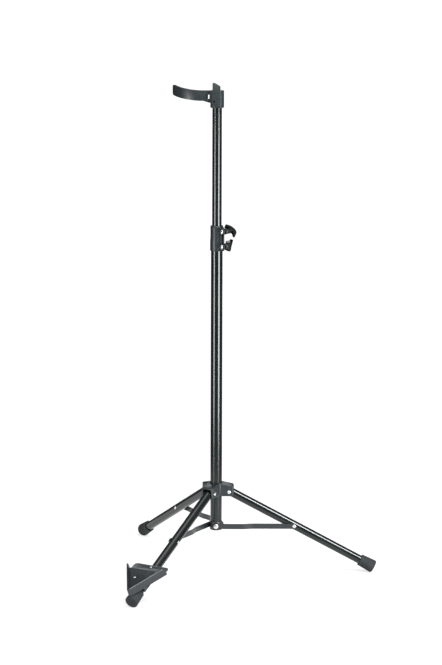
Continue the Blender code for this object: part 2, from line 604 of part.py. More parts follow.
def add_head(riser_axis):
    """The moulded head on the upper tube, its set screw and the hook arm that the instrument leans in."""
    frame = empty("head_frame", riser_axis, (0, 0, 0), (0, 0, HEAD_TURN))
    block = turned("head_block", [
        (0, HEAD_BOTTOM), (HEAD_R - 0.0006, HEAD_BOTTOM), (HEAD_R, HEAD_BOTTOM + 0.0006),
        (HEAD_R, HEAD_TOP - 0.002), (HEAD_R - 0.0006, HEAD_TOP - 0.0006), (HEAD_R - 0.002, HEAD_TOP),
        (0, HEAD_TOP)], "grey_moulding")
    place(block, frame)
    flank = extruded("head_flank", rectangle(-ARM_ROOT_X + GAP, -0.0105, 0.002, 0.0060),
                     HEAD_BOTTOM + FLANK_STEP, HEAD_TOP - 0.0004, "grey_moulding")
    combine(block, place(flank, frame), "UNION")
    tab = [(-0.0088, HEAD_BOTTOM + 0.0012), (0.0062, HEAD_BOTTOM + 0.0012), (0.0062, TAB_TOP - 0.0078),
           (0.0054, TAB_TOP - 0.0064), (-0.0048, TAB_TOP), (-0.0072, TAB_TOP), (-0.0088, TAB_TOP - 0.0016)]
    plate = extruded("head_tab", tab, -HEAD_R - 0.0006, -HEAD_R + 0.0040, "grey_moulding", "Y")
    combine(block, place(plate, frame), "UNION")
    combine(block, drill("head_bore", UPPER_R + GAP, HEAD_BOTTOM - CUT, UPPER_TOP + GAP, frame))
    screw_z = HEAD_BOTTOM + 0.0125
    screw_turn = across(radians(-112))
    screw_in, screw_out = UPPER_R + GAP, HEAD_R - 0.0004
    combine(block, drill("screw_hole", 0.0023, UPPER_R - 0.001, CUT, frame, (0, 0, screw_z), screw_turn))
    screw = turned("head_screw", [(0, screw_in), (0.0020, screw_in), (0.0020, screw_out),
                                  (0, screw_out)], "black_moulding", SMALL_STEPS)
    place(screw, frame, (0, 0, screw_z), screw_turn)
    socket = turned("screw_socket", [(0, screw_out - 0.0015), (0.0012, screw_out - 0.0015),
                                     (0.0012, screw_out + CUT), (0, screw_out + CUT)], "nickel", 6)
    combine(screw, place(socket, frame, (0, 0, screw_z), screw_turn))
    soften(block, 0.0006, 1)

    edit = bmesh.new()
    loops = []
    for (x, y), bent, bottom, top in arm_stations():
        side = Vector((sin(bent), cos(bent), 0)) * ARM_THICK / 2
        middle = Vector((x, y, 0))
        corners = ((middle - side, bottom), (middle + side, bottom),
                   (middle + side, top), (middle - side, top))
        loops.append([edit.verts.new((point.x, point.y, height)) for point, height in corners])
    for first, second in zip(loops, loops[1:]):
        for i in range(4):
            j = (i + 1) % 4
            edit.faces.new([first[i], first[j], second[j], second[i]])
    edit.faces.new(loops[0])
    edit.faces.new(loops[-1])
    arm = place(add("hook_arm", edit, "grey_moulding"), frame)
    wide, tall = SLOT_SIZE
    slot_x = -ARM_ROOT_X - 0.0012
    slot_z = HEAD_TOP - 0.0160
    slot = extruded("strap_slot", rectangle(slot_x - wide, slot_z, slot_x, slot_z + tall), -CUT, CUT,
                    "nickel", "Y")
    combine(arm, place(slot, frame))
    soften(arm, 0.0007, 1)


def add_riser(root):
    """The upper tube and its guide plug, which runs inside the lower tube."""
    riser_axis = empty("riser_axis", root)
    place(turned("upper_tube", tube_outline(UPPER_R, UPPER_BOTTOM, UPPER_TOP), "black_lacquer"),
          riser_axis)
    spigot, flange = UPPER_R - WALL - GAP, LOWER_R - WALL - GAP
    shelf = UPPER_BOTTOM - GAP
    plug = turned("guide_plug", [
        (0, shelf - 0.008), (flange, shelf - 0.008), (flange, shelf), (spigot, shelf),
        (spigot, shelf + 0.018), (0, shelf + 0.018)], "black_moulding", 28)
    place(plug, root)
    return riser_axis


def stand_on_origin(root):
    """Moves the stand so that its box is centred over the origin and its feet stand on z = 0."""
    bpy.context.view_layer.update()
    caps = [item for item in bpy.data.objects if item.name.startswith("foot_cap")]
    points = [item.matrix_world @ v.co for item in caps for v in item.data.vertices]
    low_y, high_y = min(p.y for p in points), max(p.y for p in points)
    root.location = (0, -(low_y + high_y) / 2, -min(p.z for p in points))


def main():
    clear_scene()
    root = empty("stand")
    add_post(root)
    hub_axis = add_hub(root)
    for side, azimuth in LEG_AZIMUTHS.items():
        pivot, tube = add_leg(side, azimuth, hub_axis)
        add_brace(side, azimuth, root)
        if side == "front":
            add_cradle(pivot, tube)
    add_clamp(root)
    add_head(add_riser(root))
    stand_on_origin(root)


main()
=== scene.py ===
"""The looks of the folding woodwind stand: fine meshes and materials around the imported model.

Metres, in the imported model's frame.  Each piece is made around an empty that stands at its
joint, with the sizes named below, then settled onto its body in place of the plain solid.
"""

import json
from math import atan2, cos, hypot, pi, radians, sin, sqrt

import bmesh
import bpy
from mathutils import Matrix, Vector

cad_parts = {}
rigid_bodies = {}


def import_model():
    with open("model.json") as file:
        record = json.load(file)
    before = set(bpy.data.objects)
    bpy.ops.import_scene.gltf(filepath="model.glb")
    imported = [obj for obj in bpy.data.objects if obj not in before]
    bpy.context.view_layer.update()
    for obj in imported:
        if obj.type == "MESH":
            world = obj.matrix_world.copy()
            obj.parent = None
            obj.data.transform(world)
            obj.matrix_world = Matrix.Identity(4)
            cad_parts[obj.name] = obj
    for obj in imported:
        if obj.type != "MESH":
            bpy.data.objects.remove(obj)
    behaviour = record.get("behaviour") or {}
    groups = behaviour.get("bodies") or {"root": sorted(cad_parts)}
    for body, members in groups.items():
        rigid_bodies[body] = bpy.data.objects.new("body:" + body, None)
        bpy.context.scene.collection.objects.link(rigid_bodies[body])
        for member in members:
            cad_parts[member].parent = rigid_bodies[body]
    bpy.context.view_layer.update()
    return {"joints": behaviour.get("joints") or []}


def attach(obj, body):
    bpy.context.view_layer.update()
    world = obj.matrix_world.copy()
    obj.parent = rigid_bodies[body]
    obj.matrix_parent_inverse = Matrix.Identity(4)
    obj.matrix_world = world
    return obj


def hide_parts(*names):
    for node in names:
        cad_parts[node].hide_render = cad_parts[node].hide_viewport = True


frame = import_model()

JOINTS = {joint["name"]: joint for joint in frame["joints"]}
POST_X, POST_Y = JOINTS["hook_swivel"]["pos_m"][:2]

GAP = 0.0003  # clearance between neighbouring pieces
CUT = 0.030  # how far a cutter runs past what it cuts
FINE = 96  # steps round a bore or a large turned piece
LEG_STEPS = 72
ROUND = 40  # steps round a small piece
CREASE = radians(38)  # edges sharper than this stay sharp in the shading

# Turns that point a piece made along +Z another way
TO_X = (0, pi / 2, 0)
TO_Y = (-pi / 2, 0, 0)
TO_MINUS_Y = (pi / 2, 0, 0)

# Tripod: radii from the post's axis; these heights and all below are above the root guide
LEG_AZIMUTHS = {"front": radians(270), "right": radians(30), "left": radians(150)}
PIVOT_R = 0.0250
PIVOT_Z = 0.1557
FOOT_R = 0.3030
FOOT_Z = 0.0072
BRACE_Z = 0.0883
BRACE_JOINT_R = 0.150
LEG_LENGTH = hypot(FOOT_R - PIVOT_R, PIVOT_Z - FOOT_Z)
LEG_DROP = atan2(PIVOT_Z - FOOT_Z, FOOT_R - PIVOT_R)
BRACE_JOINT_X = (BRACE_JOINT_R - PIVOT_R) / cos(LEG_DROP)
BRACE_JOINT_Z = PIVOT_Z - BRACE_JOINT_X * sin(LEG_DROP)
BRACE_LENGTH = hypot(BRACE_JOINT_R, BRACE_JOINT_Z - BRACE_Z)
BRACE_RISE = atan2(BRACE_JOINT_Z - BRACE_Z, BRACE_JOINT_R)

# Tubes
LOWER_R = 0.011
UPPER_R = 0.009
LEG_R = 0.0084
WALL = 0.001
LOWER_TOP = 0.664
UPPER_BOTTOM = 0.400
UPPER_TOP = 0.9222
LEG_BACK = 0.0055  # how far a leg runs behind its pivot
LEG_END = 0.004  # how far its tube stops short of the cap's end
PLUG_FLANGE = 0.008
PLUG_SPIGOT = 0.018

# Rivets and screws: head radius, head height, shank radius
BIG_RIVET = (0.0045, 0.0016, 0.0020)
SMALL_RIVET = (0.0032, 0.0013, 0.0016)
FLAT_RIVET = (SMALL_RIVET[0] * 0.85, SMALL_RIVET[1] * 0.6, SMALL_RIVET[2])
SCREW_HEAD = (0.0032, 0.0012, 0.0016)
DOME_RIM = 0.2  # share of a head's height that stands straight
HOLE_SLACK = 0.0003
BIG_HOLE = BIG_RIVET[2] + HOLE_SLACK
SMALL_HOLE = SMALL_RIVET[2] + HOLE_SLACK

# Foot caps
CAP_LENGTH = 0.030
CAP_RIM_R = 0.0113
CAP_END_R = 0.0125
CAP_EDGE = 0.003
CAP_LIP = 0.0008
CAP_COLLAR = 0.004  # length of the straight part behind the rim
CAP_WAIST = 0.012  # where the taper changes, measured from the rim
CAP_SWELL = 0.0004  # growth in radius up to there

# Moulded end of the post
CARRIER_R = 0.0121
CARRIER_BOTTOM = 0.0797
CARRIER_TOP = 0.0962
CARRIER_FLOOR = 0.0032
CARRIER_EDGE = 0.0016
CARRIER_SHANK_END = 0.0045  # how near the axis its rivets reach
SPIGOT_TOP = 0.104

# Braces: inner and outer halves, with a joggle between them
BRACE_WIDTH = 0.010
BRACE_THICK = 0.0018
BRACE_INNER_Y = CARRIER_R + GAP + BRACE_THICK / 2
BRACE_OUTER_Y = LEG_R + GAP + BRACE_THICK / 2
JOGGLE_FROM = 0.050
JOGGLE_TO = 0.075
JOGGLE_STEPS = 16

# Hub
HUB_BOTTOM = 0.1472
HUB_TOP = 0.1732
ARM_WIDTH = 0.025
ARM_R = 0.0338
ARM_DROP = 0.0056  # how far the top falls from the crown to an arm's end
CHANNEL_WIDTH = 0.018
CHANNEL_R = 0.014
CHANNEL_ROOF = 0.0028

# Clamp collar, with its lobes, bolts and washers
CLAMP_BOTTOM = 0.6222
CLAMP_TOP = 0.6702
CLAMP_R = 0.0127
CLAMP_AZIMUTH = radians(341)
LOBE_R = 0.0203
LOBE_END = 0.0055
LOBE_HALF = 0.0050
SLIT = 0.0024
SLIT_FROM = 0.0065
RECESS_R = 0.0050  # seat of a bolt's head in its lobe
RECESS_DEPTH = 0.0012
FLANGE_R = 0.0163
KNOB_BOLT_Z = 0.6606
LEVER_BOLT_Z = 0.6320
CLAMP_BOLTS = (("knob", KNOB_BOLT_Z), ("lever", LEVER_BOLT_Z))
BOLT_LENGTH = 0.0180
BOLT_HEAD = (0.0044, 0.0024, BIG_RIVET[2])
BOLT_HEAD_Y = LOBE_HALF + GAP
BOLT_END_Y = BOLT_LENGTH - BOLT_HEAD_Y
WASHER_R = 0.0047
WASHER_EDGE = 0.0002
WASHER_TOP_Y = BOLT_HEAD_Y + 0.0010
GRIP_Y = WASHER_TOP_Y + GAP  # where the knob and the lever start

# Wing knob and lever
KNOB_FOOT_R = 0.0050
KNOB_FOOT = 0.003
KNOB_NECK_R = 0.0042
WING_SPAN = 0.031
WING_BOW = 0.0065
WING_WIDTH = 0.0075
WING_THICK = 0.0075
WING_BLUNT = 0.12  # how full the wing's ends stay
WING_Y = 0.0222
WING_SINK = 0.0005  # how far the neck runs into the wing
WING_TILT = radians(30)
LEVER_TILT = radians(19)
LEVER_HALF = 0.0045
LEVER_TIP_HALF = 0.0040
LEVER_LOW = -0.0078
LEVER_HIGH = 0.0060
LEVER_DEPTH = 0.0080
PLATE_Y = 0.0088  # middle of the thumb plate, from the lever's foot
PLATE_HALF = 0.0036
PLATE_HALF_THICK = 0.0012
PLATE_LOW = -0.0106
PLATE_HIGH = 0.0126
LEVER_PIN_R = 0.0026
LEVER_PIN_Z = 0.0082
LEVER_PIN_LENGTH = 0.0068
LEVER_PIN_SLACK = 0.0001
LEVER_PIN_EDGE = 0.0004

# Head block
HEAD_TURN = radians(31)
HEAD_BOTTOM = 0.8935
HEAD_TOP = 0.926
HEAD_R = 0.0129
HEAD_LOW_EDGE = 0.0006
HEAD_TOP_EDGE = 0.002
FLANK_STEP = 0.0080
FLANK_FRONT = -0.0105
FLANK_BACK = 0.0060
FLANK_END = 0.002
FLANK_SHY = 0.0004  # how far the flank stays below the block's top
TAB_FROM = -0.0088
TAB_TO = 0.0062
TAB_STEP = 0.0012
TAB_TOP = 0.9412
TAB_PEAK = (-0.0072, -0.0048)  # from and to, along its top
TAB_SHOULDER = (0.0008, 0.0064)  # start of its sloping edge: in from the side, and down
TAB_SIDE_DROP = 0.0078
TAB_CORNER_DROP = 0.0016
TAB_FRONT_Y = -HEAD_R - 0.0006
TAB_BACK_Y = -HEAD_R + 0.0040
SET_SCREW_Z = HEAD_BOTTOM + 0.0125
SET_SCREW_AZIMUTH = radians(-112)
SET_SCREW_R = 0.0020
SET_SCREW_HOLE = 0.0023
SET_SCREW_SINK = 0.0004
SOCKET_R = 0.0012
SOCKET_DEPTH = 0.0015

# Hook arm
ARM_ROOT_X = 0.0132
ARM_ROOT_Y = -0.003
ARM_STRAIGHT = 0.017
ARM_BEND_R = 0.057
ARM_BEND = radians(65)
ARM_BEND_STEPS = 48
ARM_LIFT = 0.0073
ARM_HEIGHT = 0.0196
ARM_THICK = 0.0046
ARM_END_R = 0.0045
ARM_TENON = 0.002  # how far the arm's root is let into the head
GUSSET = 0.0040
GUSSET_LENGTH = 0.013
SLOT_SIZE = (0.0026, 0.0080)
SLOT_X = -ARM_ROOT_X - 0.0012
SLOT_Z = HEAD_TOP - 0.0160
SLOT_POCKET = 0.0066  # width of the shallow pocket around the slot
POCKET_DEPTH = 0.0030

# Cradle: names that end in _A, and the saddle's ends, are distances from the foot's end
V_HALF_ANGLE = radians(30)
V_WALL = 0.085
WALL_FROM = 0.0046  # where a wall's rim starts, clear of the other wall
WALL_CORNER = 0.009
WALL_PAST_FLOOR = 0.0008
CRADLE_FLOOR_Z = 0.0133
CRADLE_FLOOR_TOP = CRADLE_FLOOR_Z + 0.0024
CRADLE_RIM_Z = 0.0302
CRADLE_SHEET = 0.0030
CRADLE_INSET = 0.0002  # keeps the joined sheets' faces from lying in one plane
CORNER_INSET = 0.0001
TRAY_TIP = 0.0045
TRAY_TIP_HALF = 0.001
TONGUE_A = 0.074
TONGUE_LENGTH = 0.0174
TONGUE_HALF = 0.037
TONGUE_ROUND = 0.006
TONGUE_OVERLAP = 0.0015
TONGUE_BOTTOM = 0.00005
TONGUE_TOP = 0.0020
TONGUE_BEND = radians(9)
TONGUE_RIVET_A = 0.085
TONGUE_RIVET_LENGTH = 0.0085
TONGUE_HOLE_DEPTH = 0.010
SCREW_A = 0.052
SCREW_Y = 0.017
SCREW_SEAT = 0.0014
SCREW_LENGTH = 0.0060
SADDLE_FROM = 0.036
SADDLE_TO = 0.064
SADDLE_HALF = 0.0105
SADDLE_BOTTOM = -0.0030
SADDLE_FLANGE = 0.0026
SADDLE_WING = SCREW_Y + 0.0050

# Camera, seen from the post's axis: sideways, away, up, then how far it turns and looks down
CAMERA_TURN = radians(31.1)
CAMERA_SIDE = 0.0084
CAMERA_AWAY = 6.0533
CAMERA_UP = 1.6899
CAMERA_DOWN = radians(11.42)
CAMERA_ROLL = 0.003
CAMERA_LENS = 176.4
CAMERA_CLIP = 40

# Room and floor
BACKDROP = 1.1  # strength of the white that the camera sees
ROOM_GLOW = 0.11  # strength of the grey that the pieces reflect
FLOOR_GREY = (0.30, 0.30, 0.30)
FLOOR_GLOW = 0.74
FLOOR_R = 1.0
FLOOR_STEPS = 64
FLOOR_THICK = 0.01
FLOOR_DROP = 0.0005
FADE_FROM = 0.42
FADE_MARGIN = 0.05


# Materials ----------------------------------------------------------------------------------

def material(name, colour, roughness, metallic=0.0, coat=0.0, coat_roughness=0.1, specular=0.5,
             glint=(1, 1, 1)):
    """A Principled material with constant values; returns it, its node tree and its shader."""
    made = bpy.data.materials.new(name)
    made.use_nodes = True
    tree = made.node_tree
    shader = tree.nodes["Principled BSDF"]
    shader.inputs["Base Color"].default_value = (*colour, 1)
    shader.inputs["Roughness"].default_value = roughness
    shader.inputs["Metallic"].default_value = metallic
    shader.inputs["Coat Weight"].default_value = coat
    shader.inputs["Coat Roughness"].default_value = coat_roughness
    shader.inputs["Specular IOR Level"].default_value = specular
    shader.inputs["Specular Tint"].default_value = (*glint, 1)
    return made, tree, shader


def noise(tree, scale, detail=3.0, stretch=(1, 1, 1)):
    """Noise in the object's own coordinates, in cells per metre, stretched by a mapping."""
    coordinates = tree.nodes.new("ShaderNodeTexCoord")
    mapping = tree.nodes.new("ShaderNodeMapping")
    mapping.inputs["Scale"].default_value = stretch
    texture = tree.nodes.new("ShaderNodeTexNoise")
    texture.inputs["Scale"].default_value = scale
    texture.inputs["Detail"].default_value = detail
    tree.links.new(coordinates.outputs["Object"], mapping.inputs["Vector"])
    tree.links.new(mapping.outputs["Vector"], texture.inputs["Vector"])
    return texture.outputs["Fac"]


def spread(tree, value, low, high, start=0.3, end=0.7):
    """Maps a noise value to a range of numbers."""
    node = tree.nodes.new("ShaderNodeMapRange")
    node.inputs["From Min"].default_value = start
    node.inputs["From Max"].default_value = end
    node.inputs["To Min"].default_value = low
    node.inputs["To Max"].default_value = high
    tree.links.new(value, node.inputs["Value"])
    return node.outputs["Result"]


def tint(tree, value, dark, light, start=0.35, end=0.65):
    """Runs between two colours with a noise value."""
    node = tree.nodes.new("ShaderNodeValToRGB")
    node.color_ramp.elements[0].position = start
    node.color_ramp.elements[1].position = end
    node.color_ramp.elements[0].color = (*dark, 1)
    node.color_ramp.elements[1].color = (*light, 1)
    tree.links.new(value, node.inputs["Fac"])
    return node.outputs["Color"]


def bump(tree, shader, value, strength, distance):
    """Raises the surface with a noise value, by up to a distance in metres."""
    node = tree.nodes.new("ShaderNodeBump")
    node.inputs["Strength"].default_value = strength
    node.inputs["Distance"].default_value = distance
    tree.links.new(value, node.inputs["Height"])
    tree.links.new(node.outputs["Normal"], shader.inputs["Normal"])


def black_lacquer():
    """Gloss black lacquer with a faint orange peel."""
    made, tree, shader = material("black_lacquer", (0.004, 0.005, 0.005), 0.16,
                                  glint=(0.94, 1.0, 1.0))
    tree.links.new(spread(tree, noise(tree, 60), 0.155, 0.165), shader.inputs["Roughness"])
    tree.links.new(tint(tree, noise(tree, 18), (0.004, 0.005, 0.005), (0.007, 0.008, 0.008)),
                   shader.inputs["Base Color"])
    bump(tree, shader, noise(tree, 160, 2), 0.05, 0.000002)
    return made


def grey_moulding():
    """Satin dark grey plastic with the fine grain of its mould."""
    made, tree, shader = material("grey_moulding", (0.015, 0.020, 0.022), 0.35, specular=0.4)
    tree.links.new(spread(tree, noise(tree, 300), 0.32, 0.40), shader.inputs["Roughness"])
    tree.links.new(tint(tree, noise(tree, 120, 5), (0.013, 0.018, 0.020), (0.018, 0.023, 0.025)),
                   shader.inputs["Base Color"])
    bump(tree, shader, noise(tree, 1800, 3), 0.30, 0.00004)
    return made


def grey_enamel():
    """Satin dark grey enamel on pressed steel."""
    made, tree, shader = material("grey_enamel", (0.006, 0.010, 0.012), 0.36,
                                  coat=0.3, coat_roughness=0.2)
    tree.links.new(spread(tree, noise(tree, 220), 0.34, 0.48), shader.inputs["Roughness"])
    tree.links.new(tint(tree, noise(tree, 70, 4), (0.005, 0.009, 0.011), (0.008, 0.012, 0.015)),
                   shader.inputs["Base Color"])
    bump(tree, shader, noise(tree, 1200, 2), 0.20, 0.00003)
    return made


def black_moulding():
    """Satin black plastic of the knob, the lever, the set screw and the guide plug."""
    made, tree, shader = material("black_moulding", (0.004, 0.005, 0.005), 0.36, specular=0.3)
    tree.links.new(spread(tree, noise(tree, 240), 0.32, 0.46), shader.inputs["Roughness"])
    tree.links.new(tint(tree, noise(tree, 90, 4), (0.003, 0.004, 0.004), (0.005, 0.006, 0.006)),
                   shader.inputs["Base Color"])
    bump(tree, shader, noise(tree, 1800, 3), 0.20, 0.00003)
    return made


def rubber():
    """Matt dark rubber, a little dusty."""
    made, tree, shader = material("rubber", (0.018, 0.022, 0.023), 0.75, specular=0.25)
    tree.links.new(spread(tree, noise(tree, 150), 0.72, 0.90), shader.inputs["Roughness"])
    tree.links.new(tint(tree, noise(tree, 60, 6), (0.015, 0.018, 0.019), (0.022, 0.026, 0.027)),
                   shader.inputs["Base Color"])
    bump(tree, shader, noise(tree, 1800, 4), 0.30, 0.0001)
    return made


def nickel():
    """Bright nickel plate, lightly scuffed."""
    made, tree, shader = material("nickel", (0.74, 0.74, 0.73), 0.28, metallic=1.0)
    tree.links.new(spread(tree, noise(tree, 500, 4, (1, 1, 4)), 0.20, 0.38),
                   shader.inputs["Roughness"])
    tree.links.new(tint(tree, noise(tree, 260), (0.66, 0.66, 0.65), (0.80, 0.80, 0.79)),
                   shader.inputs["Base Color"])
    bump(tree, shader, noise(tree, 900, 2), 0.10, 0.00001)
    return made


FINISHES = {make.__name__: make() for make in
            (black_lacquer, grey_moulding, grey_enamel, black_moulding, rubber, nickel)}


# Modelling helpers --------------------------------------------------------------------------

def add(name, mesh_edit):
    """Turns an edited mesh into an object, its faces outwards."""
    bmesh.ops.recalc_face_normals(mesh_edit, faces=mesh_edit.faces)
    mesh = bpy.data.meshes.new(name)
    mesh_edit.to_mesh(mesh)
    mesh_edit.free()
    made = bpy.data.objects.new(name, mesh)
    bpy.context.scene.collection.objects.link(made)
    return made


def place(item, parent=None, at=(0, 0, 0), turn=(0, 0, 0)):
    item.parent = parent
    item.location = at
    item.rotation_euler = turn
    return item


def empty(parent=None, at=(0, 0, 0), turn=(0, 0, 0)):
    made = bpy.data.objects.new("guide", None)
    bpy.context.scene.collection.objects.link(made)
    return place(made, parent, at, turn)


def turned(name, outline, steps=FINE):
    """A solid turned about +Z. The outline's (radius, height) points close on the axis or
    on themselves."""
    edit = bmesh.new()
    rings = []
    for radius, height in outline:
        angles = [2 * pi * i / steps for i in range(steps if radius else 1)]
        rings.append([edit.verts.new((radius * cos(t), radius * sin(t), height))
                      for t in angles])
    for low, high in zip(rings, rings[1:] + rings[:1]):
        if len(low) == len(high) == 1:
            continue
        for i in range(steps):
            j = (i + 1) % steps
            corners = [low[i % len(low)], low[j % len(low)],
                       high[j % len(high)], high[i % len(high)]]
            edit.faces.new(list(dict.fromkeys(corners)))
    return add(name, edit)


def extruded(name, outline, low, high, along="Z"):
    """A solid from low to high along Z, Y or X, with its outline in (x, y), (x, z) or (y, z)."""
    order = {"Z": (0, 1, 2), "Y": (0, 2, 1), "X": (2, 0, 1)}[along]
    edit = bmesh.new()

    def corner(point, depth):
        values = (*point, depth)
        return edit.verts.new([values[k] for k in order])

    ends = [[corner(point, depth) for point in outline] for depth in (low, high)]
    for end in ends:
        edit.faces.new(end)
    for i in range(len(outline)):
        j = (i + 1) % len(outline)
        edit.faces.new([ends[0][i], ends[0][j], ends[1][j], ends[1][i]])
    return add(name, edit)


def swept(name, loops):
    """A solid through a row of loops that have the same number of points."""
    edit = bmesh.new()
    rows = [[edit.verts.new(point) for point in loop] for loop in loops]
    for first, second in zip(rows, rows[1:]):
        for i in range(len(first)):
            j = (i + 1) % len(first)
            edit.faces.new([first[i], first[j], second[j], second[i]])
    edit.faces.new(rows[0])
    edit.faces.new(rows[-1])
    return add(name, edit)


def arc(centre, radius, start, end, steps=8):
    """Points of an arc, both ends included, for angles in degrees."""
    angles = [radians(start + (end - start) * i / steps) for i in range(steps + 1)]
    return [(centre[0] + radius * cos(t), centre[1] + radius * sin(t)) for t in angles]


def rectangle(x0, y0, x1, y1):
    return [(x0, y0), (x1, y0), (x1, y1), (x0, y1)]


def combine(target, tool, operation="DIFFERENCE"):
    """Cuts the tool from the target, or joins it on; settle bakes it and clear_tools tidies."""
    modifier = target.modifiers.new(tool.name, "BOOLEAN")
    modifier.operation = operation
    modifier.solver = "EXACT"
    modifier.object = tool
    tool.hide_render = True
    return target


def drill(radius, low, high, parent=None, at=(0, 0, 0), turn=(0, 0, 0), steps=ROUND):
    """A round cutter along its own Z, from low to high."""
    outline = [(0, low), (radius, low), (radius, high), (0, high)]
    return place(turned("drill", outline, steps), parent, at, turn)


def soften(item, width, segments=3, angle=35):
    """Rounds the edges that are sharper than an angle in degrees."""
    modifier = item.modifiers.new("Soft edges", "BEVEL")
    modifier.width = width
    modifier.segments = segments
    modifier.limit_method = "ANGLE"
    modifier.angle_limit = radians(angle)
    return item


def settle(item, body, finish, stands_for=None):
    """Bakes the piece's modifiers, puts it on its body in its finish, and hides the solids
    it stands for: the one of its own name unless others are given."""
    bpy.context.view_layer.update()
    tools = [m.object for m in item.modifiers if m.type == "BOOLEAN"]
    evaluated = item.evaluated_get(bpy.context.evaluated_depsgraph_get())
    mesh = bpy.data.meshes.new_from_object(evaluated)
    world = item.matrix_world.copy()
    item.modifiers.clear()
    item.data = mesh
    item.parent = None
    mesh.transform(world)
    item.matrix_world.identity()
    mesh.materials.clear()
    mesh.materials.append(FINISHES[finish])
    mesh.shade_smooth()
    mesh.set_sharp_from_angle(angle=CREASE)
    for tool in tools:
        if tool.users_scene:
            tool["used"] = True
    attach(item, body)
    nodes = (item.name.removesuffix("_fine"),) if stands_for is None else stands_for
    if nodes:
        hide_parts(*nodes)


def clear_tools():
    """Removes the cutters and the guides once every piece is settled."""
    for item in list(bpy.data.objects):
        guide = item.type == "EMPTY" and item.name.startswith("guide")
        if guide or item.get("used"):
            bpy.data.objects.remove(item, do_unlink=True)


def dome(radius, height, base, steps=9):
    """Outline of a rivet's head, from its rim at the base to its top on the axis."""
    rim = height * DOME_RIM
    points = [(radius, base), (radius, base + rim)]
    for i in range(1, steps):
        t = pi / 2 * i / steps
        points.append((radius * cos(t), base + rim + (height - rim) * sin(t)))
    return points + [(0, base + height)]


def rivet(name, body, size, length, parent, at, turn, tail=False):
    """A domed rivet along its own Z: its head sits on 0 and its shank runs down from there."""
    head_r, head_h, shank_r = size
    outline = [(0, -length), (shank_r, -length)]
    if tail:
        low = [(r, -length - z) for r, z in dome(head_r, head_h, 0)]
        outline = list(reversed(low)) + [(shank_r, -length)]
    outline += [(shank_r, 0), *dome(head_r, head_h, 0)]
    settle(place(turned(f"{name}_fine", outline, ROUND), parent, at, turn), body, "nickel")


def tube_outline(radius, low, high):
    """A tube's wall with lightly broken edges."""
    edge = WALL / 4
    inner = radius - WALL
    return [(inner, low + edge), (inner + edge, low), (radius - edge, low), (radius, low + edge),
            (radius, high - edge), (radius - edge, high), (inner + edge, high),
            (inner, high - edge)]


def across(azimuth):
    """Turns a piece made along Z so that it points level, along the azimuth."""
    return (0, pi / 2, azimuth)


# Post and hub -------------------------------------------------------------------------------

def add_post(root):
    """The lower tube, and the moulded end that carries the braces on three rivets."""
    floor = CARRIER_BOTTOM + CARRIER_FLOOR
    tube = turned("lower_tube_fine", tube_outline(LOWER_R, floor + GAP, LOWER_TOP))
    place(tube, root)
    top_edge = CARRIER_EDGE / 3
    bore, spigot = LOWER_R + GAP, LOWER_R - WALL - GAP
    outline = [(0, CARRIER_BOTTOM)]
    outline += arc((CARRIER_R - CARRIER_EDGE, CARRIER_BOTTOM + CARRIER_EDGE), CARRIER_EDGE, -90, 0)
    outline += arc((CARRIER_R - top_edge, CARRIER_TOP - top_edge), top_edge, 0, 90, 4)
    outline += [(bore, CARRIER_TOP), (bore, floor), (spigot, floor), (spigot, SPIGOT_TOP),
                (0, SPIGOT_TOP)]
    carrier = place(turned("brace_carrier_fine", outline), root)
    head_at = BRACE_INNER_Y + BRACE_THICK / 2 + GAP
    for side, azimuth in LEG_AZIMUTHS.items():
        turn = across(azimuth - pi / 2)
        hole = drill(BIG_HOLE, CARRIER_SHANK_END - GAP, CUT, root, (0, 0, BRACE_Z), turn)
        combine(tube, hole)
        combine(carrier, hole)
        out = Vector((cos(azimuth - pi / 2), sin(azimuth - pi / 2), 0)) * head_at
        rivet(f"carrier_rivet_{side}", "post", BIG_RIVET, head_at - CARRIER_SHANK_END, root,
              out + Vector((0, 0, BRACE_Z)), turn)
    settle(tube, "post", "black_lacquer")
    settle(carrier, "post", "grey_enamel")


def hub_star(hub_axis, low, high):
    """The hub's block: three arms under a crown that falls towards their ends."""
    half = ARM_WIDTH / 2
    star = []
    for azimuth in LEG_AZIMUTHS.values():
        out = Vector((cos(azimuth), sin(azimuth), 0))
        side = Vector((-sin(azimuth), cos(azimuth), 0))
        notch = azimuth + pi / 3
        star.append((out * ARM_R - side * half, ARM_DROP))
        star.append((out * ARM_R + side * half, ARM_DROP))
        star.append((Vector((cos(notch), sin(notch), 0)) * half / sin(pi / 3), 0))
    star.sort(key=lambda corner: atan2(corner[0].y, corner[0].x))
    edit = bmesh.new()
    lower = [edit.verts.new((p.x, p.y, low)) for p, _ in star]
    upper = [edit.verts.new((p.x, p.y, high - drop)) for p, drop in star]
    crown = edit.verts.new((0, 0, high))
    edit.faces.new(lower)
    for i in range(len(star)):
        j = (i + 1) % len(star)
        edit.faces.new([lower[i], lower[j], upper[j], upper[i]])
        edit.faces.new([upper[i], upper[j], crown])
    return place(add("hub_body_fine", edit), hub_axis)


